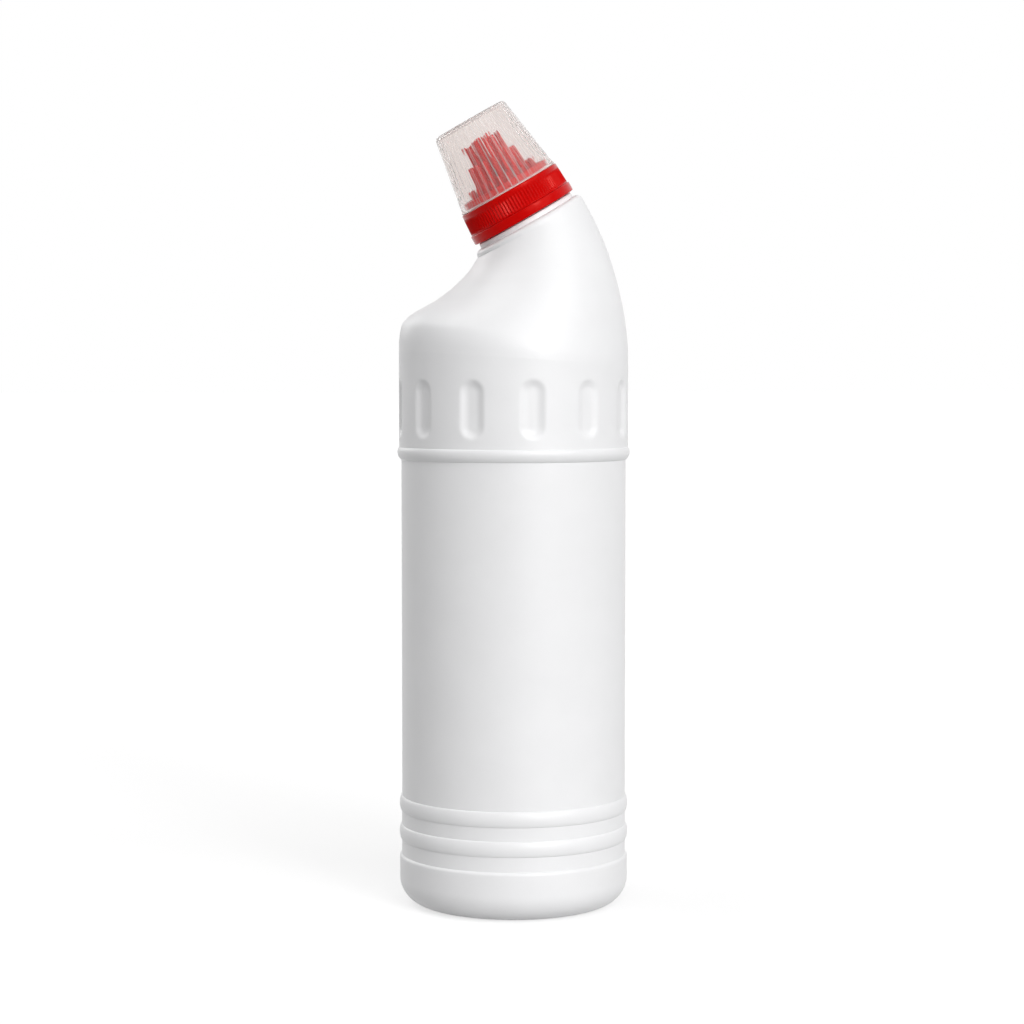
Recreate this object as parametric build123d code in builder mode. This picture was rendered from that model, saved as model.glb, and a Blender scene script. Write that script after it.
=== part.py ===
import os
from math import atan2, cos, degrees, hypot, pi, radians, sin
from build123d import *

os.makedirs("parts", exist_ok=True)

# Millimetres. The bottle stands on Z = 0 with its body on the Z axis, and the neck leans to -X.

# Body of the bottle
body_r = 40.0
foot_h = 16.2
foot_fillet = 9.5
stand_w = 5.5
push_up = 4.0
push_up_run = 12.0
groove_depth = 0.7
groove_lead = 1.8
rib_rise = 0.8
rib_h = 5.4
lower_rib_z = 25.5
upper_rib_z = 35.6
label_depth = 0.8
label_top = 156.0
collar_rib_h = 4.4
collar_rib_rise = 0.6
upper_band_h = 27.6
shoulder_tilt = 5.0
shoulder_h = 50.5
wall = 2.0
floor_t = 1.8

# Dimples in the upper band
dimple_count = 12
dimple_h = 20.3
dimple_w = 8.8
dimple_depth = 1.15
dimple_draft = 48.0
dimple_gap = 3.35

# Neck: its base circle is where the shoulder ends, and heights are measured along the leaning axis
neck_lean = 30.0
neck_x = 4.8
finish_r = 15.4
finish_h = 12.0
finish_wall = 1.9
support_rise = 2.8
support_h = 1.8
bead_rise = 1.1
bead_h = 1.6
shoulder_step = 2.7
shoulder_drop = 2.0
shoulder_fillet = 1.3

# Red closure
gap = 0.3
seat_gap = 0.1
edge_break = 0.4
band_wall = 2.75
band_h = 3.0
band_lip = 0.7
skirt_bore_gap = 0.9
skirt_wall = 2.35
skirt_draft = 0.45
deck_t = 1.0
knurl_count = 100
knurl_depth = 0.35
knurl_top_margin = 1.9
knurl_bottom_margin = 0.5
plug_depth = 2.5
plug_wall = 1.0
plug_gap = 0.2
spigot_step = 2.45
spigot_wall = 1.2
spigot_h = 3.0
outlet_r = 1.6

# Brush head, pressed into the spigot
head_gap = 0.15
head_t = 1.0
bristle_root_r = 1.05
bristle_tip_r = 0.55
bristle_sides = 8
bristle_heights = [20.2, 19.5, 12.1, 5.1]

# Clear overcap
overcap_ledge = 0.4
overcap_taper = 4.55
overcap_h = 27.7
overcap_wall = 1.4
overcap_fillet = 1.6
overcap_gap = 0.15
rib_count = 40
rib_depth = 0.3

# Sizes that follow from the ones above
label_r = body_r - label_depth
groove_r = body_r - groove_depth
stand_r = body_r - foot_fillet
dome_r = stand_r - stand_w
collar_rib_z = label_top + collar_rib_h / 2
collar_top = label_top + collar_rib_h
dimple_z = collar_top + dimple_gap + dimple_h / 2
shoulder_back_z = collar_top + upper_band_h
shoulder_front_z = shoulder_back_z + shoulder_tilt
neck_z = shoulder_back_z + shoulder_h
cavity_r = body_r - wall
lean = radians(neck_lean)
across = Vector(cos(lean), 0, sin(lean))
along = Vector(-sin(lean), 0, cos(lean))
neck_base = Vector(neck_x, 0, neck_z)
neck_plane = Plane(origin=neck_base, x_dir=across, z_dir=along)
neck_section = Plane(origin=neck_base, x_dir=across, z_dir=(0, -1, 0))
neck_axis = Axis(neck_base, along)
shoulder_end = neck_base - along * shoulder_drop
bore_r = finish_r - finish_wall
support_r = finish_r + support_rise
shoulder_r = support_r + shoulder_step
bead_r = finish_r + bead_rise
band_z = support_h + gap
band_top = band_z + band_h
bead_z = band_z + band_lip + gap
skirt_z = band_top + gap
deck_z = finish_h + seat_gap
skirt_top = deck_z + deck_t
skirt_h = skirt_top - skirt_z
band_bore_r = bead_r + gap
band_r = band_bore_r + band_wall
skirt_bore_r = finish_r + skirt_bore_gap
skirt_top_r = skirt_bore_r + skirt_wall
skirt_bottom_r = skirt_top_r + skirt_draft
plug_r = bore_r - plug_gap
plug_bore_r = plug_r - plug_wall
spigot_r = skirt_top_r - spigot_step
spigot_inner_r = spigot_r - spigot_wall
head_r = spigot_inner_r - head_gap
head_z = skirt_top + seat_gap
head_top = head_z + head_t
bristle_pitch = spigot_inner_r / (len(bristle_heights) + 1)
overcap_z = skirt_top + seat_gap
overcap_top = overcap_z + overcap_h
overcap_bottom_r = skirt_top_r - overcap_ledge
overcap_top_r = overcap_bottom_r - overcap_taper
spigot_bore_r = spigot_r + overcap_gap
flute_z = skirt_top + spigot_h + gap
flute_top = overcap_top - overcap_wall
overcap_slope = overcap_taper / overcap_h


def skirt_radius(z):
    """Outer radius of the drafted skirt at a height along the neck."""
    return skirt_bottom_r - skirt_draft * (z - skirt_z) / skirt_h


def overcap_radius(z):
    """Outer radius of the tapered overcap at a height along the neck."""
    return overcap_bottom_r - overcap_slope * (z - overcap_z)


def star(outer, inner, count):
    """Corner points of a ring of ribs, pointed outwards at the outer radius."""
    points = []
    for i in range(count):
        tip = 2 * pi * i / count
        root = 2 * pi * (i + 0.5) / count
        points.append((outer * cos(tip), outer * sin(tip)))
        points.append((inner * cos(root), inner * sin(root)))
    return points


# Shoulder sections. Each row gives, as shares of the way from the body to the neck: the front edge
# inwards and upwards, the back edge inwards and upwards, and the narrowing across.
shoulder_rows = [
    (0.000, 0.000, 0.000, 0.000, 0.000),
    (0.000, 0.030, 0.000, 0.008, 0.000),
    (0.000, 0.166, 0.000, 0.034, 0.003),
    (0.011, 0.286, 0.000, 0.068, 0.021),
    (0.050, 0.349, 0.003, 0.118, 0.058),
    (0.138, 0.413, 0.025, 0.186, 0.120),
    (0.278, 0.476, 0.062, 0.271, 0.204),
    (0.420, 0.539, 0.112, 0.352, 0.293),
    (0.533, 0.602, 0.168, 0.423, 0.382),
    (0.644, 0.666, 0.230, 0.494, 0.466),
    (0.737, 0.729, 0.304, 0.565, 0.550),
    (0.818, 0.792, 0.391, 0.643, 0.644),
    (0.886, 0.855, 0.497, 0.723, 0.728),
    (0.932, 0.910, 0.627, 0.807, 0.817),
    (0.968, 0.958, 0.801, 0.904, 0.906),
    (1.000, 1.000, 1.000, 1.000, 1.000),
]


def shoulder_sections(thickness):
    """Planes and half axes of the shoulder ellipses, drawn in by a wall thickness."""
    front_end = shoulder_end - across * shoulder_r
    back_end = shoulder_end + across * shoulder_r
    slant = hypot(2 * body_r, shoulder_front_z - shoulder_back_z) / (2 * body_r)
    sections = []
    for front_in, front_up, back_in, back_up, narrow in shoulder_rows:
        fx = -body_r + (front_end.X + body_r) * front_in
        fz = shoulder_front_z + (front_end.Z - shoulder_front_z) * front_up
        bx = body_r + (back_end.X - body_r) * back_in
        bz = shoulder_back_z + (back_end.Z - shoulder_back_z) * back_up
        length = hypot(bx - fx, bz - fz)
        centre = ((fx + bx) / 2, 0, (fz + bz) / 2)
        plane = Plane(origin=centre, x_dir=(bx - fx, 0, bz - fz), z_dir=(fz - bz, 0, bx - fx))
        half_width = body_r + (shoulder_r - body_r) * narrow
        sections.append((plane, length / 2 - thickness * slant, half_width - thickness))
    return sections


shoulder_start = shoulder_sections(0)[0][0]


# Inside of the bottle: body, shoulder and the way out through the neck
with BuildPart() as cavity:
    with BuildSketch(Plane.XZ):
        with BuildLine():
            Polyline(
                (0, shoulder_front_z),
                (0, push_up + floor_t),
                (dome_r - push_up_run, push_up + floor_t),
                (dome_r, floor_t),
                (stand_r, floor_t),
            )
            ThreePointArc(
                (stand_r, floor_t),
                (
                    stand_r + (foot_fillet - wall) * sin(pi / 4),
                    foot_fillet - (foot_fillet - floor_t) * cos(pi / 4),
                ),
                (cavity_r, foot_fillet),
            )
            Polyline((cavity_r, foot_fillet), (cavity_r, shoulder_front_z), (0, shoulder_front_z))
        make_face()
    revolve(axis=Axis.Z)
    split(bisect_by=shoulder_start, keep=Keep.BOTTOM)
    for plane, half_length, half_width in shoulder_sections(wall):
        with BuildSketch(plane):
            with BuildLine():
                EllipticalCenterArc((0, 0), half_length, half_width, 0, arc_size=180)
                EllipticalCenterArc((0, 0), half_length, half_width, 180, arc_size=180)
            make_face()
    loft()
    with Locations(Location(neck_plane)):
        with Locations((0, 0, -shoulder_drop - 1)):
            Cylinder(
                bore_r,
                finish_h + shoulder_drop + 3,
                align=(Align.CENTER, Align.CENTER, Align.MIN),
            )

# One dimple with drafted sides, on the -X side
with BuildPart() as dimple:
    with BuildSketch(Plane(origin=(-body_r - 0.4, 0, dimple_z), x_dir=(0, 0, 1), z_dir=(1, 0, 0))):
        SlotOverall(dimple_h + 0.7, dimple_w + 0.7)
    extrude(amount=dimple_depth + 0.4, taper=dimple_draft)

# Bottle: one blown shell with ribs, dimples, swept shoulder and leaning neck
with BuildPart() as bottle:
    with BuildSketch(Plane.XZ):
        with BuildLine():
            Polyline(
                (0, shoulder_front_z),
                (0, push_up),
                (dome_r - push_up_run, push_up),
                (dome_r, 0),
                (stand_r, 0),
            )
            ThreePointArc(
                (stand_r, 0),
                (stand_r + foot_fillet * sin(pi / 4), foot_fillet * (1 - cos(pi / 4))),
                (body_r, foot_fillet),
            )
            Line((body_r, foot_fillet), (body_r, foot_h))
            ThreePointArc(
                (body_r, foot_h),
                (body_r - groove_depth * 0.2, foot_h + groove_lead * 0.65),
                (groove_r, foot_h + groove_lead),
            )
            Line((groove_r, foot_h + groove_lead), (groove_r, lower_rib_z - rib_h / 2))
            ThreePointArc(
                (groove_r, lower_rib_z - rib_h / 2),
                (groove_r + rib_rise, lower_rib_z),
                (groove_r, lower_rib_z + rib_h / 2),
            )
            Line((groove_r, lower_rib_z + rib_h / 2), (groove_r, upper_rib_z - rib_h / 2))
            ThreePointArc(
                (groove_r, upper_rib_z - rib_h / 2),
                (groove_r + rib_rise, upper_rib_z),
                (label_r, upper_rib_z + rib_h / 2),
            )
            Line((label_r, upper_rib_z + rib_h / 2), (label_r, label_top))
            ThreePointArc(
                (label_r, label_top),
                (body_r + collar_rib_rise, collar_rib_z + 0.15),
                (body_r, collar_top),
            )
            Polyline((body_r, collar_top), (body_r, shoulder_front_z), (0, shoulder_front_z))
        make_face()
    revolve(axis=Axis.Z)
    split(bisect_by=shoulder_start, keep=Keep.BOTTOM)
    for plane, half_length, half_width in shoulder_sections(0):
        with BuildSketch(plane):
            with BuildLine():
                EllipticalCenterArc((0, 0), half_length, half_width, 0, arc_size=180)
                EllipticalCenterArc((0, 0), half_length, half_width, 180, arc_size=180)
            make_face()
    loft()
    with BuildSketch(neck_section):
        with BuildLine():
            Polyline(
                (0, -shoulder_drop),
                (shoulder_r, -shoulder_drop),
                (shoulder_r, -shoulder_fillet),
            )
            RadiusArc(
                (shoulder_r, -shoulder_fillet),
                (shoulder_r - shoulder_fillet, 0),
                -shoulder_fillet,
            )
            Polyline(
                (shoulder_r - shoulder_fillet, 0),
                (support_r, 0),
                (support_r, support_h),
                (finish_r, support_h),
                (finish_r, bead_z),
                (bead_r, bead_z + bead_h * 0.2),
                (bead_r, bead_z + bead_h * 0.45),
                (finish_r, bead_z + bead_h),
                (finish_r, finish_h - edge_break),
                (finish_r - edge_break, finish_h),
                (0, finish_h),
                (0, -shoulder_drop),
            )
        make_face()
    revolve(axis=neck_axis)
    for i in range(dimple_count):
        add(dimple.part.rotate(Axis.Z, 360 * i / dimple_count), mode=Mode.SUBTRACT)
    add(cavity.part, mode=Mode.SUBTRACT)
bottle.part.label = "bottle"
export_step(bottle.part, "parts/bottle.step")

# Tamper band: stays on the neck, its lip caught under the bead
with BuildPart() as tamper_band:
    with BuildSketch(neck_section):
        with BuildLine():
            Polyline(
                (finish_r + gap, band_z),
                (band_r, band_z),
                (band_r, band_top),
                (band_bore_r, band_top),
                (band_bore_r, band_z + band_lip),
                (finish_r + gap, band_z + band_lip),
                (finish_r + gap, band_z),
            )
        make_face()
    revolve(axis=neck_axis)
tamper_band.part.label = "tamper_band"
export_step(tamper_band.part, "parts/tamper_band.step")

# Brush cap: knurled skirt, deck with plug seal and outlet, and spigot in one moulding
with BuildPart() as brush_cap:
    knurl_z = skirt_z + knurl_bottom_margin
    knurl_top = skirt_top - knurl_top_margin
    with BuildSketch(neck_section):
        with BuildLine():
            Polyline(
                (outlet_r, deck_z),
                (plug_bore_r, deck_z),
                (plug_bore_r, deck_z - plug_depth),
                (plug_r - edge_break, deck_z - plug_depth),
                (plug_r, deck_z - plug_depth + 2 * edge_break),
                (plug_r, deck_z),
                (skirt_bore_r, deck_z),
                (skirt_bore_r, skirt_z),
                (skirt_radius(skirt_z), skirt_z),
                (skirt_radius(knurl_z), knurl_z),
                (skirt_radius(knurl_z) - 2 * knurl_depth, knurl_z),
                (skirt_radius(knurl_top) - 2 * knurl_depth, knurl_top),
                (skirt_radius(knurl_top), knurl_top),
                (skirt_radius(skirt_top - edge_break / 2), skirt_top - edge_break / 2),
                (skirt_top_r - edge_break / 2, skirt_top),
                (spigot_r, skirt_top),
                (spigot_r, skirt_top + spigot_h - edge_break),
                (spigot_r - edge_break, skirt_top + spigot_h),
                (spigot_inner_r, skirt_top + spigot_h),
                (spigot_inner_r, skirt_top),
                (outlet_r, skirt_top),
                (outlet_r, deck_z),
            )
        make_face()
    revolve(axis=neck_axis)
    for z in (knurl_z, knurl_top):
        with BuildSketch(neck_plane.offset(z)):
            with BuildLine():
                Polyline(star(skirt_radius(z), skirt_radius(z) - knurl_depth, knurl_count), close=True)
            make_face()
            Circle(skirt_radius(z) - 3 * knurl_depth, mode=Mode.SUBTRACT)
    loft(ruled=True)
brush_cap.part.label = "brush_cap"
export_step(brush_cap.part, "parts/brush_cap.step")

# Brush head: a round plate with an outlet hole, carrying rings of stiff tapered bristles
with BuildPart() as brush_head:
    with BuildSketch(neck_plane.offset(head_z)):
        Circle(head_r)
        Circle(outlet_r, mode=Mode.SUBTRACT)
    extrude(amount=head_t)
    for ring, height in enumerate(bristle_heights, start=1):
        with BuildSketch(neck_plane.offset(head_top - head_t / 2)):
            with PolarLocations(ring * bristle_pitch, 6 * ring):
                RegularPolygon(bristle_root_r, bristle_sides)
        reach = height + head_t / 2
        extrude(amount=reach, taper=degrees(atan2(bristle_root_r - bristle_tip_r, reach)))
brush_head.part.label = "brush_head"
export_step(brush_head.part, "parts/brush_head.step")

# Overcap: clear tapered cup with fine ribs inside, over the spigot
with BuildPart() as overcap:
    with BuildSketch(neck_section):
        with BuildLine():
            Polyline(
                (0, overcap_top),
                (0, overcap_z),
                (overcap_bottom_r, overcap_z),
                (overcap_top_r, overcap_top),
                (0, overcap_top),
            )
        make_face()
    revolve(axis=neck_axis)
    fillet(overcap.edges().group_by(Axis(neck_base, along))[-1], overcap_fillet)
    with BuildSketch(neck_plane.offset(overcap_z)):
        Circle(spigot_bore_r)
    extrude(amount=flute_z - overcap_z, mode=Mode.SUBTRACT)
    for z in (flute_z - 0.01, flute_top):
        with BuildSketch(neck_plane.offset(z)):
            with BuildLine():
                root_r = overcap_radius(z) - overcap_wall
                Polyline(star(root_r, root_r - rib_depth, rib_count), close=True)
            make_face()
    loft(ruled=True, mode=Mode.SUBTRACT)
overcap.part.label = "overcap"
export_step(overcap.part, "parts/overcap.step")
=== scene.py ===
import random
from math import atan2, cos, hypot, pi, radians, sin

import bmesh
import bpy
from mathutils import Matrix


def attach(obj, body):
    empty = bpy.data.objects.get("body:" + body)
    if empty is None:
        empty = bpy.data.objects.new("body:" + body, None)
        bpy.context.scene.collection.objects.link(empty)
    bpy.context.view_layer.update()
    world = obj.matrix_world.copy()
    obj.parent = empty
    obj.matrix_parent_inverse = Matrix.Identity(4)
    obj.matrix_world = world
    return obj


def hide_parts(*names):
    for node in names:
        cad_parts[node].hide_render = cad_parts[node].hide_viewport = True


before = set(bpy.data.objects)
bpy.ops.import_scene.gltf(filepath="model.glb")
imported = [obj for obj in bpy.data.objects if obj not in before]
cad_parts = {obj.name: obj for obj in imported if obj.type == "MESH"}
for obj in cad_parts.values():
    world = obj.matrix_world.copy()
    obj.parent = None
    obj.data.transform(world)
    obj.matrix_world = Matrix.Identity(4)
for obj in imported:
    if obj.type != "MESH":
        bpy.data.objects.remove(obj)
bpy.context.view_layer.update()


# Bottle: one shell of white HDPE, blown in a mould that parts along the plane of the leaning neck.
# Ribs, dimples, shoulder and neck are all the same wall, open at the mouth. The part stands on a
# flat ring around its pushed-up base. All sizes are in millimetres until they reach a mesh.
MM = 0.001
bottle_steps = 360
body_r = 40.0
wall = 2.0
floor_t = 1.8
push_up = 4.0
dome_r = 25.0
dome_top_r = 13.0
dome_round = 3.0
foot_round = 9.5
foot_h = 16.2
foot_lead = 1.8
foot_edge_r = 1.3
groove_r = 39.3
rib_h = 5.4
rib_rise = 0.8
rib_fullness = 0.5
rib_flat = 0.3
rib_rows = 16
rib_places = (25.5, 35.6)
label_r = 39.2
label_top = 156.0
collar_h = 4.4
collar_rise = 0.95
collar_fullness = 0.6
dimple_count = 12
dimple_h = 20.3
dimple_w = 8.8
dimple_depth = 1.15
dimple_side = 3.2
dimple_z = 173.9
body_top = 187.4
shoulder_front_z = 193.0
shoulder_back_z = 188.0
neck_lean = radians(30)
neck_base = (4.8, 0.0, 238.5)
shoulder_r = 20.9
shoulder_drop = 2.0
finish_r = 15.4
finish_h = 12.0
bore_r = 13.5
support_r = 18.2
support_h = 1.8
bead_r = 16.5
bead_z = 3.1
thread_z = 6.2
thread_pitch = 3.18
thread_depth = 0.62
thread_steps = 60


def arc(centre, radius, start, end, steps):
    """Points of a round stretch of a profile, by angle in degrees."""
    points = []
    for i in range(steps + 1):
        turn = radians(start + (end - start) * i / steps)
        points.append((centre[0] + radius * cos(turn), centre[1] + radius * sin(turn)))
    return points


def bulge(low, high, rise, fullness, steps):
    """Points of a rounded rib between two points of a profile, closer together near its edges."""
    points = []
    for i in range(steps + 1):
        share = (1 - cos(pi * i / steps)) / 2
        swell = rise * sin(pi * share) ** fullness
        radius = low[0] + (high[0] - low[0]) * share + swell
        height = low[1] + (high[1] - low[1]) * share
        points.append((radius, height))
    return points


def drawn(name, points):
    """A profile drawn point by point, from a plane merged to one vertex. It stays in edit mode."""
    bpy.ops.object.select_all(action="DESELECT")
    bpy.ops.mesh.primitive_plane_add(size=MM, location=(points[0][0] * MM, 0, points[0][1] * MM))
    piece = bpy.context.active_object
    piece.name = name
    bpy.ops.object.mode_set(mode="EDIT")
    bpy.ops.mesh.select_mode(type="VERT")
    bpy.ops.mesh.select_all(action="SELECT")
    bpy.ops.mesh.merge(type="CENTER")
    for last, point in zip(points, points[1:]):
        step = ((point[0] - last[0]) * MM, 0, (point[1] - last[1]) * MM)
        bpy.ops.mesh.extrude_vertices_move(TRANSFORM_OT_translate={"value": step})
    return piece


def turned(name, points, steps):
    """A piece turned from a profile around the Z axis."""
    piece = drawn(name, points)
    bpy.ops.mesh.select_all(action="SELECT")
    bpy.ops.mesh.spin(steps=steps, angle=2 * pi, center=(0, 0, 0), axis=(0, 0, 1))
    bpy.ops.mesh.select_all(action="SELECT")
    bpy.ops.mesh.remove_doubles(threshold=0.001 * MM)
    bpy.ops.mesh.delete_loose(use_verts=True, use_edges=True, use_faces=False)
    bpy.ops.mesh.select_all(action="SELECT")
    bpy.ops.mesh.normals_make_consistent(inside=False)
    bpy.ops.object.mode_set(mode="OBJECT")
    bpy.ops.object.transform_apply(location=True, rotation=True, scale=True)
    return piece


def pick(piece, wanted):
    """Selects the vertices that are wanted, in edit mode."""
    mesh = bmesh.from_edit_mesh(piece.data)
    for vertex in mesh.verts:
        vertex.select = wanted(vertex)
    mesh.select_flush_mode()
    bmesh.update_edit_mesh(piece.data)


def join(pieces):
    """Makes one mesh of several, kept in the first."""
    bpy.ops.object.select_all(action="DESELECT")
    for piece in pieces:
        piece.select_set(True)
    bpy.context.view_layer.objects.active = pieces[0]
    bpy.ops.object.join()
    return pieces[0]


def set_on_neck(piece):
    """Tips a piece that was made around Z onto the leaning neck, and puts its place in its mesh."""
    bpy.ops.object.select_all(action="DESELECT")
    piece.select_set(True)
    bpy.context.view_layer.objects.active = piece
    piece.rotation_euler = (0, -neck_lean, 0)
    piece.location = [c * MM for c in neck_base]
    bpy.ops.object.transform_apply(location=True, rotation=True, scale=True)


def thread(name, root, crest, width, turns, start, sink):
    """One helical thread ridge around Z, its two ends run out by a radial scale of sink."""
    points = [(root, -width / 2), (crest, -width / 5), (crest, width / 5), (root, width / 2)]
    ridge = drawn(name, [(r, start + z) for r, z in points])
    bpy.ops.mesh.select_all(action="SELECT")
    bpy.ops.mesh.edge_face_add()
    bpy.ops.object.mode_set(mode="OBJECT")
    bpy.ops.object.transform_apply(location=True, rotation=True, scale=True)
    sweep = ridge.modifiers.new("sweep", "SCREW")
    sweep.axis = "Z"
    sweep.angle = 2 * pi * turns
    sweep.screw_offset = thread_pitch * turns * MM
    sweep.steps = int(thread_steps * turns)
    sweep.render_steps = sweep.steps
    bpy.ops.object.modifier_apply(modifier="sweep")
    bpy.ops.object.mode_set(mode="EDIT")
    bpy.ops.mesh.select_all(action="SELECT")
    bpy.ops.mesh.remove_doubles(threshold=0.001 * MM)
    bpy.ops.mesh.select_all(action="SELECT")
    bpy.ops.mesh.fill_holes(sides=4)
    for ring in (0, turns):
        side = 2 * pi * ring
        middle = (start + thread_pitch * ring) * MM
        pick(ridge, lambda v: abs(v.co.z - middle) < 0.6 * width * MM
             and v.co.x * cos(side) + v.co.y * sin(side) > hypot(v.co.x, v.co.y) * 0.9999)
        bpy.ops.transform.resize(value=(sink, sink, 1), center_override=(0, 0, 0))
    bpy.ops.mesh.select_all(action="SELECT")
    bpy.ops.mesh.normals_make_consistent(inside=False)
    bpy.ops.object.mode_set(mode="OBJECT")
    return ridge


# The outside is turned from the base to the top of the dimpled band.
outside = [(0, push_up), (dome_top_r * 0.8, push_up)]
outside += arc((dome_top_r - 1, push_up - dome_round), dome_round, 90, 55, 4)
outside += [(dome_r - 1.2, 0.35), (dome_r, 0.0), (body_r - foot_round, 0.0)]
outside += arc((body_r - foot_round, foot_round), foot_round, -84, 0, 14)
outside += [(body_r, foot_h - 0.5)]
outside += arc((body_r - foot_edge_r, foot_h + 0.4), foot_edge_r, 0, 62, 7)
outside += [(groove_r, foot_h + foot_lead), (groove_r, foot_h + foot_lead + rib_flat)]
for place, above in zip(rib_places, (groove_r, label_r)):
    low = (groove_r, place - rib_h / 2)
    high = (above, place + rib_h / 2)
    outside += [(groove_r, low[1] - rib_flat)]
    outside += bulge(low, high, rib_rise, rib_fullness, rib_rows)
    outside += [(above, high[1] + rib_flat)]
low = (label_r, label_top)
high = (body_r, label_top + collar_h)
outside += [(label_r, label_top - rib_flat)]
outside += bulge(low, high, collar_rise, collar_fullness, rib_rows)
outside += [(body_r, high[1] + rib_flat)]
band_low = dimple_z - dimple_h / 2 - 1
band_high = dimple_z + dimple_h / 2 + 1
band_rows = 38
for i in range(band_rows + 1):
    outside += [(body_r, band_low + (band_high - band_low) * i / band_rows)]
outside += [(body_r, body_top)]
bottle = turned("bottle_shell", outside, bottle_steps)

# The inside follows the outside at one wall, without its ribs.
inside = [(0, push_up + floor_t), (dome_top_r, push_up + floor_t), (dome_r, floor_t)]
inside += [(body_r - foot_round, floor_t)]
inside += arc((body_r - foot_round, foot_round), foot_round - wall, -80, 0, 8)
inside += [(body_r - wall, body_top)]
lining = turned("bottle_lining", inside, bottle_steps)

# The neck finish is turned around its own axis: shoulder edge, support ring, retaining bead, mouth.
finish = [(shoulder_r, -shoulder_drop)]
finish += arc((shoulder_r - shoulder_drop, -shoulder_drop), shoulder_drop, 6, 90, 8)
finish += [(support_r + 0.35, 0.0), (support_r + 0.1, 0.1)]
finish += arc((support_r - 0.35, support_h - 0.35), 0.35, 0, 90, 4)
finish += [(finish_r + 0.3, support_h), (finish_r, support_h + 0.3), (finish_r, bead_z)]
finish += [(bead_r - 0.15, bead_z + 0.2), (bead_r, bead_z + 0.4), (bead_r - 0.05, bead_z + 0.7)]
finish += [(finish_r + 0.1, bead_z + 1.5), (finish_r, bead_z + 1.7), (finish_r, thread_z + 1.8)]
finish += arc((finish_r - 0.5, finish_h - 0.5), 0.5, 0, 90, 5)
finish += arc((bore_r + 0.4, finish_h - 0.4), 0.4, 90, 180, 4)
finish += [(bore_r, -1.0)]
neck = turned("bottle_neck", finish, bottle_steps)
set_on_neck(neck)

# The shoulder is swept through slanted ellipses, from the round body to the round neck. Each row
# gives shares of the way: front edge in and up, back edge in and up, and the narrowing across.
shoulder_rows = [
    (0.000, 0.000, 0.000, 0.000, 0.000),
    (0.000, 0.030, 0.000, 0.008, 0.001),
    (0.006, 0.166, 0.000, 0.034, 0.012),
    (0.034, 0.286, 0.000, 0.068, 0.045),
    (0.083, 0.349, 0.003, 0.118, 0.090),
    (0.170, 0.413, 0.025, 0.186, 0.150),
    (0.304, 0.476, 0.062, 0.271, 0.225),
    (0.442, 0.539, 0.112, 0.352, 0.305),
    (0.550, 0.602, 0.168, 0.423, 0.388),
    (0.654, 0.666, 0.230, 0.494, 0.468),
    (0.737, 0.729, 0.304, 0.565, 0.550),
    (0.818, 0.792, 0.391, 0.643, 0.644),
    (0.886, 0.855, 0.497, 0.723, 0.728),
    (0.932, 0.910, 0.627, 0.807, 0.817),
    (0.968, 0.958, 0.801, 0.904, 0.906),
    (1.000, 1.000, 1.000, 1.000, 1.000),
]


def shoulder_shares(place):
    """The five shares at a place along the rows, on a smooth curve through them."""
    last = len(shoulder_rows) - 1
    i = min(int(place), last - 1)
    t = place - i
    before, low, high, after = (shoulder_rows[min(max(i + k, 0), last)] for k in (-1, 0, 1, 2))
    shares = []
    for a, b, c, d in zip(before, low, high, after):
        curve = (2 * a - 5 * b + 4 * c - d) * t * t + (3 * b - a - 3 * c + d) * t * t * t
        shares.append(b + 0.5 * ((c - a) * t + curve))
    return shares


def swept_shoulder(name, steps_per_row, thickness):
    """The shoulder as rings bridged one to the next, drawn in by a wall thickness."""
    end_x = neck_base[0] + shoulder_drop * sin(neck_lean)
    end_z = neck_base[2] - shoulder_drop * cos(neck_lean)
    front_end = (end_x - shoulder_r * cos(neck_lean), end_z - shoulder_r * sin(neck_lean))
    back_end = (end_x + shoulder_r * cos(neck_lean), end_z + shoulder_r * sin(neck_lean))
    bpy.ops.object.select_all(action="DESELECT")
    bpy.ops.mesh.primitive_circle_add(
        vertices=bottle_steps, radius=(body_r - thickness) * MM, location=(0, 0, body_top * MM)
    )
    piece = bpy.context.active_object
    piece.name = name
    bpy.ops.object.transform_apply(location=True, rotation=True, scale=True)
    bpy.ops.object.mode_set(mode="EDIT")
    for i in range((len(shoulder_rows) - 1) * steps_per_row + 1):
        front_in, front_up, back_in, back_up, narrow = shoulder_shares(i / steps_per_row)
        front_x = -body_r + (front_end[0] + body_r) * front_in
        front_z = shoulder_front_z + (front_end[1] - shoulder_front_z) * front_up
        back_x = body_r + (back_end[0] - body_r) * back_in
        back_z = shoulder_back_z + (back_end[1] - shoulder_back_z) * back_up
        half_length = hypot(back_x - front_x, back_z - front_z) / 2 - thickness
        half_width = body_r + (shoulder_r - body_r) * narrow - thickness
        slant = atan2(back_z - front_z, back_x - front_x)
        centre = ((front_x + back_x) / 2 * MM, 0, (front_z + back_z) / 2 * MM)
        bpy.ops.mesh.primitive_circle_add(vertices=bottle_steps, radius=half_width * MM)
        stretch = half_length / half_width
        bpy.ops.transform.resize(value=(stretch, 1, 1), center_override=(0, 0, 0))
        bpy.ops.transform.rotate(value=slant, orient_axis="Y", center_override=(0, 0, 0))
        bpy.ops.transform.translate(value=centre)
        pick(piece, lambda v: v.is_wire or (v.is_boundary and v.index >= i * bottle_steps))
        bpy.ops.mesh.bridge_edge_loops()
    bpy.ops.object.mode_set(mode="OBJECT")
    return piece


shoulder = swept_shoulder("bottle_shoulder", 3, 0)
shoulder_lining = swept_shoulder("bottle_shoulder_lining", 1, wall)
bottle = join([bottle, lining, neck, shoulder, shoulder_lining])

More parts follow.
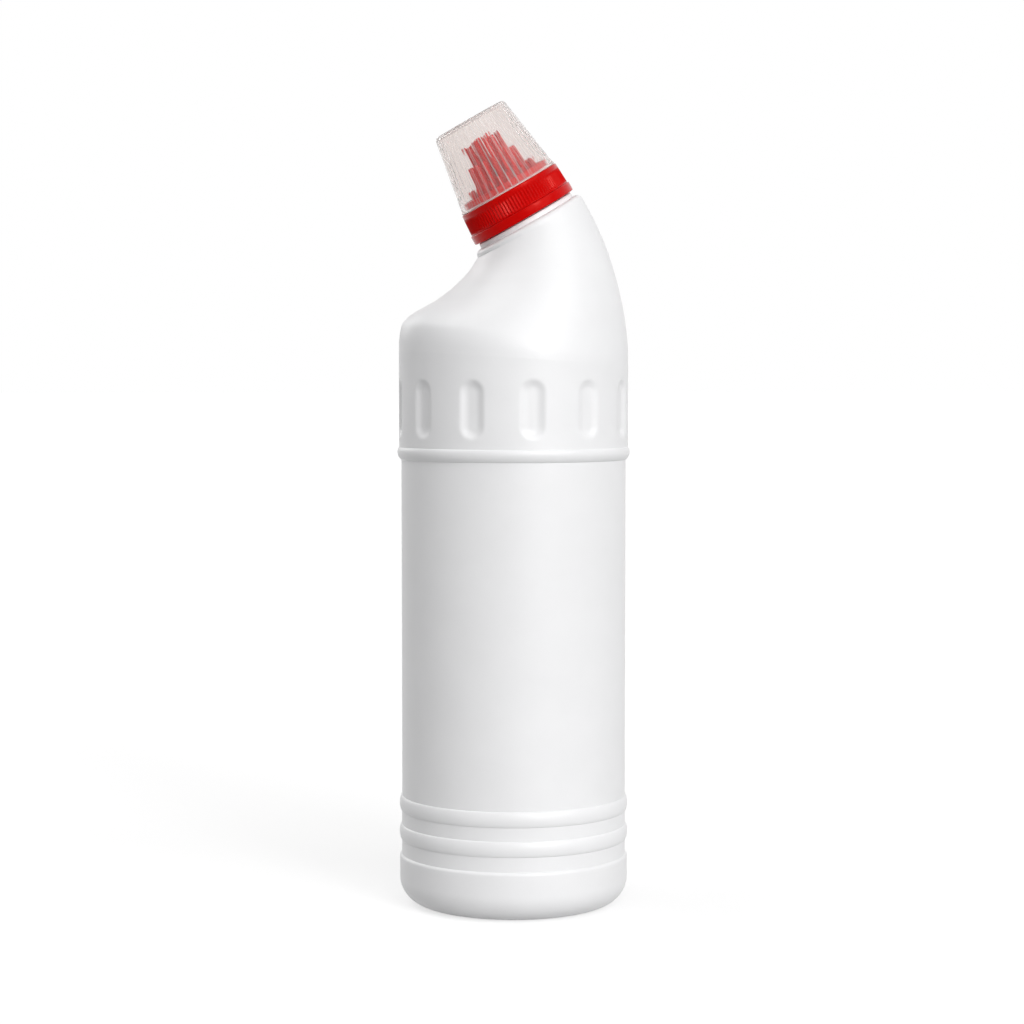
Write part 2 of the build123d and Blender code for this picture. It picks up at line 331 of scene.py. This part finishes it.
# All of it is sewn to one wall. The lining is closed to the bore by bridging the last open rings.
bpy.ops.object.mode_set(mode="EDIT")
bpy.ops.mesh.select_all(action="SELECT")
bpy.ops.mesh.remove_doubles(threshold=0.002 * MM)
pick(bottle, lambda v: v.is_boundary)
bpy.ops.mesh.bridge_edge_loops()
bpy.ops.mesh.select_all(action="SELECT")
bpy.ops.mesh.normals_make_consistent(inside=False)
bpy.ops.object.mode_set(mode="OBJECT")

# The dimples are pressed into the band as soft scoops, one of them on the front.
pressed = bottle.vertex_groups.new(name="dimples")
for vertex in bottle.data.vertices:
    x, y, z = (c / MM for c in vertex.co)
    if hypot(x, y) > body_r - 0.3 and band_low - 0.1 < z < band_high + 0.1:
        pitch = 2 * pi / dimple_count
        turn = (atan2(y, x) + pitch / 2) % pitch - pitch / 2
        run = max(abs(z - dimple_z) - (dimple_h - dimple_w) / 2, 0)
        inset = (dimple_w / 2 - hypot(turn * body_r, run)) / dimple_side
        if inset > 0:
            share = min(inset, 1) ** 0.7
            pressed.add([vertex.index], share * share * (3 - 2 * share), "REPLACE")
press = bottle.modifiers.new("press", "DISPLACE")
press.vertex_group = "dimples"
press.strength = -dimple_depth * MM
press.mid_level = 0
bpy.ops.object.modifier_apply(modifier="press")

# The thread runs just under one and a half turns above the bead.
neck_thread = thread(
    "neck_thread",
    root=finish_r - 0.1,
    crest=finish_r + thread_depth,
    width=1.7,
    turns=1.4,
    start=thread_z,
    sink=0.955,
)
set_on_neck(neck_thread)
bottle = join([bottle, neck_thread])
bpy.ops.object.shade_smooth_by_angle(angle=radians(40))


def to_linear(code):
    """A hex sRGB colour as the linear one that Blender's sockets take."""
    channels = [int(code[i : i + 2], 16) / 255 for i in (1, 3, 5)]
    linear = [c / 12.92 if c <= 0.04045 else ((c + 0.055) / 1.055) ** 2.4 for c in channels]
    return (*linear, 1.0)


def add_node(tree, kind, inputs, **settings):
    """Adds a node with its settings, and gives each input its value or the socket that feeds it."""
    added = tree.nodes.new("ShaderNode" + kind)
    for name, value in settings.items():
        setattr(added, name, value)
    for name, value in inputs.items():
        if isinstance(value, bpy.types.NodeSocket):
            tree.links.new(value, added.inputs[name])
        else:
            added.inputs[name].default_value = value
    return added


def new_material(name):
    """A new material, its node tree, and the object coordinates in that tree."""
    material = bpy.data.materials.new(name)
    material.use_nodes = True
    tree = material.node_tree
    return material, tree, add_node(tree, "TexCoord", {}).outputs["Object"]


def coat(piece, material):
    """Gives a piece one material."""
    piece.data.materials.clear()
    piece.data.materials.append(material)


# Blown white HDPE: waxy and half matt, a little light passes into it. Faint clouding where the wall
# is thicker, a fine grain from the blasted mould, and the thin raised line where the mould parts.
cloud_mm = 16
grain_mm = 0.9
grain_rise = 0.05
parting_mm = 0.3
hdpe, tree, place = new_material("blown_white_hdpe")
cloud = add_node(tree, "TexNoise", {"Vector": place, "Scale": 1 / (cloud_mm * MM), "Detail": 2.0})
grain = add_node(tree, "TexNoise", {"Vector": place, "Scale": 1 / (grain_mm * MM), "Detail": 2.0})
tint = add_node(
    tree,
    "Mix",
    {0: cloud.outputs["Fac"], 6: to_linear("#eeeeef"), 7: to_linear("#f4f4f5")},
    data_type="RGBA",
)
sheen = add_node(tree, "MapRange", {"Value": grain.outputs["Fac"], "To Min": 0.32, "To Max": 0.42})
across = add_node(tree, "SeparateXYZ", {"Vector": place})
beside = add_node(tree, "Math", {0: across.outputs["Y"]}, operation="ABSOLUTE")
parting = add_node(
    tree,
    "MapRange",
    {"Value": beside.outputs[0], "From Max": parting_mm * MM, "To Min": 1.0, "To Max": 0.0},
    interpolation_type="SMOOTHSTEP",
)
relief = add_node(tree, "Math", {0: grain.outputs["Fac"], 1: parting.outputs[0]}, operation="ADD")
bump = add_node(
    tree, "Bump", {"Height": relief.outputs[0], "Strength": 0.25, "Distance": grain_rise * MM}
)
shader = tree.nodes["Principled BSDF"]
tree.links.new(tint.outputs[2], shader.inputs["Base Color"])
tree.links.new(sheen.outputs[0], shader.inputs["Roughness"])
tree.links.new(bump.outputs[0], shader.inputs["Normal"])
shader.inputs["IOR"].default_value = 1.54
shader.inputs["Subsurface Weight"].default_value = 0.2
shader.inputs["Subsurface Radius"].default_value = (1.0, 1.0, 1.0)
shader.inputs["Subsurface Scale"].default_value = 1.2 * MM
coat(bottle, hdpe)
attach(bottle, "bottle")
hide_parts("bottle")


# Tamper band: the smooth lower ring of the red closure, moulded with it in PP. Its inner lip is
# caught under the bead of the neck, so it stays behind when the cap is screwed off.
band_z = 2.1
band_top = 5.35
band_r = 19.55
band_bore_r = 16.8
lip_r = 15.7
lip_h = 0.7
band_profile = arc((band_r - 0.3, band_z + 0.3), 0.3, -90, 0, 4)
band_profile += arc((band_r - 0.4, band_top - 0.4), 0.4, 0, 90, 6)
band_profile += [(band_bore_r + 0.2, band_top), (band_bore_r, band_top - 0.2)]
band_profile += [(band_bore_r, band_z + lip_h + 0.2), (lip_r + 0.2, band_z + lip_h)]
band_profile += [(lip_r, band_z + lip_h - 0.2), (lip_r, band_z + 0.2), (lip_r + 0.2, band_z)]
band_profile += [band_profile[0]]
band = turned("tamper_band_ring", band_profile, 240)
set_on_neck(band)
bpy.ops.object.shade_smooth_by_angle(angle=radians(40))

# Moulded red PP: bright red with a soft gloss, a faint flow pattern and very fine moulding grain.
flow_mm = 6
fine_mm = 0.35
fine_rise = 0.02
red_pp, tree, place = new_material("moulded_red_pp")
flow = add_node(
    tree,
    "TexNoise",
    {"Vector": place, "Scale": 1 / (flow_mm * MM), "Detail": 3.0, "Distortion": 0.6},
)
fine = add_node(tree, "TexNoise", {"Vector": place, "Scale": 1 / (fine_mm * MM), "Detail": 1.0})
tint = add_node(
    tree,
    "Mix",
    {0: flow.outputs["Fac"], 6: to_linear("#c40000"), 7: to_linear("#d00202")},
    data_type="RGBA",
)
gloss = add_node(tree, "MapRange", {"Value": flow.outputs["Fac"], "To Min": 0.16, "To Max": 0.22})
bump = add_node(
    tree, "Bump", {"Height": fine.outputs["Fac"], "Strength": 0.15, "Distance": fine_rise * MM}
)
shader = tree.nodes["Principled BSDF"]
tree.links.new(tint.outputs[2], shader.inputs["Base Color"])
tree.links.new(gloss.outputs[0], shader.inputs["Roughness"])
tree.links.new(bump.outputs[0], shader.inputs["Normal"])
shader.inputs["IOR"].default_value = 1.49
shader.inputs["Specular IOR Level"].default_value = 0.2
shader.inputs["Specular Tint"].default_value = to_linear("#ff8a80")
coat(band, red_pp)
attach(band, "band")
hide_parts("tamper_band")


# Brush cap: one red PP moulding that screws onto the neck. It has a knurled skirt with a thread
# inside, a deck with a plug seal below and an outlet hole, and a spigot that the overcap goes over.
skirt_z = 5.4
skirt_top = 13.1
skirt_bottom_r = 19.1
skirt_top_r = 18.65
skirt_bore_r = 16.3
skirt_chamfer = 0.06
knurl_count = 100
knurl_depth = 0.35
knurl_z = 5.9
knurl_top = 11.2
deck_z = 12.1
plug_r = 13.3
plug_bore_r = 12.3
plug_z = 9.6
spigot_r = 16.2
spigot_inner_r = 15.0
spigot_top = 16.1
outlet_r = 1.6


def skirt_radius(z):
    """Outer radius of the drafted skirt at a height along the neck."""
    return skirt_bottom_r + (skirt_top_r - skirt_bottom_r) * (z - skirt_z) / (skirt_top - skirt_z)


skirt = [(skirt_bottom_r - skirt_chamfer, skirt_z)]
knurl_rows = 6
for z in [skirt_z + skirt_chamfer, knurl_z - 0.1]:
    skirt.append((skirt_radius(z), z))
for i in range(knurl_rows + 1):
    z = knurl_z + (knurl_top - knurl_z) * i / knurl_rows
    skirt.append((skirt_radius(z), z))
skirt.append((skirt_radius(knurl_top + 0.25), knurl_top + 0.25))
skirt += arc((skirt_top_r - 0.3, skirt_top - 0.3), 0.3, 0, 90, 5)
skirt += [(spigot_r + 0.25, skirt_top), (spigot_r, skirt_top + 0.25)]
skirt += arc((spigot_r - 0.4, spigot_top - 0.4), 0.4, 0, 90, 4)
skirt += [(spigot_inner_r + 0.2, spigot_top), (spigot_inner_r, spigot_top - 0.2)]
skirt += [(spigot_inner_r, skirt_top + 0.3), (spigot_inner_r - 0.3, skirt_top)]
skirt += [(outlet_r + 0.3, skirt_top), (outlet_r, skirt_top - 0.3), (outlet_r, deck_z)]
skirt += [(plug_bore_r, deck_z), (plug_bore_r, plug_z + 0.2), (plug_bore_r + 0.2, plug_z)]
skirt += [(plug_r - 0.4, plug_z), (plug_r, plug_z + 0.8), (plug_r, deck_z)]
skirt += [(skirt_bore_r, deck_z), (skirt_bore_r, skirt_z + 0.2), (skirt_bore_r + 0.2, skirt_z)]
skirt += [skirt[0]]
cap = turned("brush_cap_moulding", skirt, 4 * knurl_count)

# The knurl is pressed between the ribs, full depth in each valley and part of it on both sides.
bpy.ops.object.mode_set(mode="EDIT")
quarter = 2 * pi / (4 * knurl_count)
for columns, share in (((2,), 1.0), ((1, 3), 0.45)):
    pick(cap, lambda v: (knurl_z - 0.02) * MM < v.co.z < (knurl_top + 0.02) * MM
         and hypot(v.co.x, v.co.y) > (skirt_top_r - 0.1) * MM
         and round(atan2(v.co.y, v.co.x) / quarter) % 4 in columns)
    depth = 1 - knurl_depth * share / skirt_radius((knurl_z + knurl_top) / 2)
    bpy.ops.transform.resize(value=(depth, depth, 1), center_override=(0, 0, 0))
bpy.ops.object.mode_set(mode="OBJECT")

# The thread inside the skirt runs half a pitch above the one on the neck.
cap_thread = thread(
    "cap_thread",
    root=skirt_bore_r + 0.1,
    crest=skirt_bore_r - thread_depth,
    width=1.5,
    turns=1.2,
    start=thread_z + thread_pitch / 2,
    sink=1.045,
)
cap = join([cap, cap_thread])
set_on_neck(cap)
bpy.ops.object.shade_smooth_by_angle(angle=radians(50))
coat(cap, red_pp)
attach(cap, "cap")
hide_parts("brush_cap")


# Brush head: a red PP plate with an outlet hole, pressed into the spigot of the cap. It carries
# four rings of stiff tapered bristles, tallest in the middle, moulded in one with the plate.
head_z = 13.2
head_top = 14.2
head_r = 14.85
bristle_pitch = 3.0
bristle_root_r = 1.05
bristle_tip_r = 0.55
bristle_heights = (20.2, 19.5, 12.1, 5.1)
plate = [(outlet_r, head_z), (head_r - 0.2, head_z), (head_r, head_z + 0.2)]
plate += arc((head_r - 0.3, head_top - 0.3), 0.3, 0, 90, 4)
plate += [(outlet_r + 0.3, head_top), (outlet_r, head_top - 0.3), (outlet_r, head_z)]
head = turned("brush_head_moulding", plate, 96)

# One pin of each height is made, and its copies lean and vary a little, as pins do that were pulled
# from a mould while warm.
pull = random.Random(11)
lean_most = radians(1.6)
bristles = []
for ring, height in enumerate(bristle_heights, start=1):
    bpy.ops.object.select_all(action="DESELECT")
    bpy.ops.mesh.primitive_cone_add(
        vertices=16,
        radius1=bristle_root_r * MM,
        radius2=bristle_tip_r * MM,
        depth=height * MM,
        location=(0, 0, height / 2 * MM),
    )
    pin = bpy.context.active_object
    bpy.ops.object.transform_apply(location=True, rotation=True, scale=True)
    bpy.ops.object.mode_set(mode="EDIT")
    pick(pin, lambda v: v.co.z > (height - 0.1) * MM)
    bpy.ops.mesh.bevel(offset=0.4 * MM, segments=3, affect="EDGES")
    bpy.ops.object.mode_set(mode="OBJECT")
    for i in range(6 * ring):
        bristle = pin.copy()
        bristle.data = pin.data.copy()
        bpy.context.collection.objects.link(bristle)
        turn = 2 * pi * i / (6 * ring)
        side = ring * bristle_pitch * MM
        lean_x = pull.uniform(-lean_most, lean_most)
        lean_y = pull.uniform(-lean_most, lean_most)
        bristle.rotation_euler = (lean_x, lean_y, turn)
        bristle.scale = (1, 1, pull.uniform(0.94, 0.99))
        bristle.location = (side * cos(turn), side * sin(turn), (head_top - 0.1) * MM)
        bristles.append(bristle)
    bpy.data.objects.remove(pin)
head = join([head] + bristles)
set_on_neck(head)
bpy.ops.object.shade_smooth_by_angle(angle=radians(50))
coat(head, red_pp)
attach(head, "cap")
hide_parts("brush_head")


# Overcap: a clear, slightly hazy PP cup that keeps the brush clean. Its mouth is pushed over the
# spigot and ends in a thin lip, and fine ribs run down the inside of its tapered wall.
overcap_z = 13.2
overcap_top = 40.9
overcap_bottom_r = 18.25
overcap_top_r = 13.7
overcap_wall = 1.4
overcap_top_t = 0.9
overcap_round = 1.6
overcap_inner_round = 0.8
overcap_inset = 0.05
overcap_mid = 27
mouth_r = 16.35
mouth_top = 16.4
rib_count = 40
rib_depth = 0.2
rib_z = 17.5
rib_top = 37.5


def overcap_radius(z):
    """Outer radius of the tapered overcap at a height along the neck."""
    share = (z - overcap_z) / (overcap_top - overcap_z)
    return overcap_bottom_r + (overcap_top_r - overcap_bottom_r) * share


cup = [(mouth_r + 0.3, overcap_z), (overcap_bottom_r - 0.1, overcap_z)]
cup += arc((overcap_bottom_r - 0.12, overcap_z + 0.45), 0.3, -60, 60, 5)
cup += [(overcap_radius(z) - overcap_inset, z) for z in (14.2, 16, 20, 25, 30, 35, 38)]
corner_z = overcap_top - overcap_round
corner_r = overcap_radius(corner_z) - overcap_inset - overcap_round
cup += arc((corner_r, corner_z), overcap_round, 5, 90, 8)
under_top = overcap_top - overcap_top_t
cup += [(8, overcap_top), (0, overcap_top), (0, under_top), (8, under_top)]
corner_z = under_top - overcap_inner_round
corner_r = overcap_radius(38.2) - overcap_wall - overcap_inner_round
cup += arc((corner_r, corner_z), overcap_inner_round, 90, 0, 5)
cup += [(overcap_radius(z) - overcap_wall, z) for z in (37, 34, 29, 24, 20, 17)]
cup += [(mouth_r, mouth_top), (mouth_r, overcap_z + 0.3), (mouth_r + 0.3, overcap_z)]
overcap = turned("overcap_cup", cup, 8 * rib_count)

# The ribs stand inwards from the wall in a soft wave, eight columns to each.
bpy.ops.object.mode_set(mode="EDIT")
eighth = 2 * pi / (8 * rib_count)
for columns, share in (((4,), 1.0), ((3, 5), 0.85), ((2, 6), 0.5), ((1, 7), 0.15)):
    pick(overcap, lambda v: rib_z * MM < v.co.z < rib_top * MM
         and hypot(v.co.x, v.co.y) < (overcap_radius(v.co.z / MM) - 0.7) * MM
         and round(atan2(v.co.y, v.co.x) / eighth) % 8 in columns)
    depth = 1 - rib_depth * share / (overcap_radius(overcap_mid) - overcap_wall)
    bpy.ops.transform.resize(value=(depth, depth, 1), center_override=(0, 0, 0))
bpy.ops.object.mode_set(mode="OBJECT")
set_on_neck(overcap)
bpy.ops.object.shade_smooth_by_angle(angle=radians(45))

# Moulded clear PP: see-through with a milky haze and fine streaks along the pull of the mould. The
# lip and the top are milkier than the wall between them. Each rib is milkier too, partly from its
# thicker wall and partly as a painted highlight that runs down it as a pale streak.
streak_mm = 0.7
streak_length = 40
streak_rise = 0.05
clear_share = 0.945
clear_pp, tree, place = new_material("moulded_clear_pp")
on_neck = add_node(
    tree,
    "Mapping",
    {"Vector": place, "Location": [c * MM for c in neck_base], "Rotation": (0, -neck_lean, 0)},
    vector_type="TEXTURE",
)
around = add_node(tree, "TexGradient", {"Vector": on_neck.outputs[0]}, gradient_type="RADIAL")
height = add_node(tree, "SeparateXYZ", {"Vector": on_neck.outputs[0]})
streak_count = 2 * pi * overcap_radius(overcap_mid) / streak_mm
lines = add_node(tree, "Math", {0: around.outputs["Fac"], 1: streak_count}, operation="MULTIPLY")
rise = add_node(
    tree, "Math", {0: height.outputs["Z"], 1: 1 / (streak_length * MM)}, operation="MULTIPLY"
)
pulled = add_node(tree, "CombineXYZ", {"X": lines.outputs[0], "Y": rise.outputs[0]})
streaks = add_node(tree, "TexNoise", {"Vector": pulled.outputs[0], "Scale": 1.0, "Detail": 2.0})
haze = add_node(tree, "MapRange", {"Value": streaks.outputs["Fac"], "To Min": 0.1, "To Max": 0.2})
bump = add_node(
    tree, "Bump", {"Height": streaks.outputs["Fac"], "Strength": 0.04, "Distance": streak_rise * MM}
)
lip_milk = add_node(
    tree,
    "MapRange",
    {
        "Value": height.outputs["Z"],
        "From Min": (overcap_z + 0.2) * MM,
        "From Max": (overcap_z + 0.5) * MM,
        "To Min": 0.1,
        "To Max": clear_share,
    },
)
# Painted highlight: each rib lets less light through along a narrow line, so it shows as a pale
# streak.
ribs = add_node(tree, "Math", {0: around.outputs["Fac"], 1: rib_count}, operation="MULTIPLY")
on_rib = add_node(tree, "Math", {0: ribs.outputs[0], 1: 0.5}, operation="PINGPONG")
rib_milk_and_highlight = add_node(
    tree,
    "MapRange",
    {
        "Value": on_rib.outputs[0],
        "From Min": 0.42,
        "From Max": 0.49,
        "To Min": clear_share,
        "To Max": 0.66,
    },
    interpolation_type="SMOOTHSTEP",
)
top_milk = add_node(
    tree,
    "MapRange",
    {
        "Value": height.outputs["Z"],
        "From Min": (under_top - 0.6) * MM,
        "From Max": under_top * MM,
        "To Min": clear_share,
        "To Max": 0.75,
    },
)
ends = add_node(tree, "Math", {0: lip_milk.outputs[0], 1: top_milk.outputs[0]}, operation="MINIMUM")
# The milky lip and top, joined with the painted highlight streaks on the ribs.
milk_and_rib_highlight = add_node(tree, "Math", {0: ends.outputs[0], 1: rib_milk_and_highlight.outputs[0]}, operation="MINIMUM")
shader = tree.nodes["Principled BSDF"]
tree.links.new(haze.outputs[0], shader.inputs["Roughness"])
tree.links.new(bump.outputs[0], shader.inputs["Normal"])
shader.inputs["Base Color"].default_value = to_linear("#f3eeec")
shader.inputs["IOR"].default_value = 1.15
tree.links.new(milk_and_rib_highlight.outputs[0], shader.inputs["Transmission Weight"])
coat(overcap, clear_pp)
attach(overcap, "cover")
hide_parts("overcap")


# Studio: a wide pale sheet under the bottle, a white surround and four soft lamps. A broad key and
# a small lamp for the glints stand right of the camera, one hangs high on the left, and a rim light
# stands behind. The sheet and the surround look white, but give less light than white ones would.
camera_turn = radians(-9.5)
camera_aim = radians(0.035)
camera_pitch = radians(3.12)
camera_away = 0.860
camera_height = 0.1844
photo_px = 1024
focal_px = 2457
floor_m = 60
floor_lift = 0.66
surround_fill = 0.27


def in_view(tree):
    """A socket that is 1 for what is seen, also in a reflection or through a wall, and else 0."""
    ray = add_node(tree, "LightPath", {})
    direct = add_node(
        tree,
        "Math",
        {0: ray.outputs["Is Camera Ray"], 1: ray.outputs["Is Glossy Ray"]},
        operation="MAXIMUM",
    )
    seen = add_node(
        tree,
        "Math",
        {0: direct.outputs[0], 1: ray.outputs["Is Transmission Ray"]},
        operation="MAXIMUM",
    )
    return seen.outputs[0]


bpy.ops.object.select_all(action="DESELECT")
bpy.ops.mesh.primitive_plane_add(size=floor_m)
floor = bpy.context.active_object
floor.name = "studio_floor"
paper = bpy.data.materials.new("matt_white_paper")
paper.use_nodes = True
tree = paper.node_tree
tree.nodes.clear()
lift = add_node(tree, "Math", {0: in_view(tree), 1: floor_lift}, operation="MULTIPLY")
matt = add_node(tree, "BsdfDiffuse", {"Color": to_linear("#b8b8b8")})
glow = add_node(tree, "Emission", {"Strength": lift.outputs[0]})
both = add_node(tree, "AddShader", {0: matt.outputs[0], 1: glow.outputs[0]})
add_node(tree, "OutputMaterial", {"Surface": both.outputs[0]})
floor.data.materials.append(paper)

surround = bpy.data.worlds.new("studio_surround")
bpy.context.scene.world = surround
surround.use_nodes = True
tree = surround.node_tree
tree.nodes.clear()
level = add_node(tree, "MapRange", {"Value": in_view(tree), "To Min": surround_fill, "To Max": 1.0})
white = add_node(tree, "Background", {"Color": (1, 1, 1, 1), "Strength": level.outputs[0]})
add_node(tree, "OutputWorld", {"Surface": white.outputs[0]})

# Each lamp has its strength, its spread, its height above the sheet and its turn from the camera.
lamps = (
    ("soft_key", 1.85, 65, 26, 30),
    ("soft_glint", 0.6, 14, 18, 30),
    ("soft_left", 0.55, 40, 58, -95),
    ("soft_rim", 0.35, 30, 20, -140),
)
for name, strength, spread, height, turn in lamps:
    bpy.ops.object.light_add(type="SUN", location=(0, 0, 1))
    lamp = bpy.context.active_object
    lamp.name = name
    lamp.data.energy = strength
    lamp.data.angle = radians(spread)
    lamp.rotation_euler = (radians(90 - height), 0, camera_turn + radians(turn))

bpy.ops.object.camera_add(
    location=(sin(camera_turn) * camera_away, -cos(camera_turn) * camera_away, camera_height),
    rotation=(pi / 2 - camera_pitch, 0, camera_turn + camera_aim),
)
camera = bpy.context.active_object
camera.data.sensor_width = 36
camera.data.lens = focal_px / photo_px * camera.data.sensor_width
camera.data.clip_end = 200
bpy.context.scene.camera = camera
bpy.context.scene.view_settings.view_transform = "Standard"
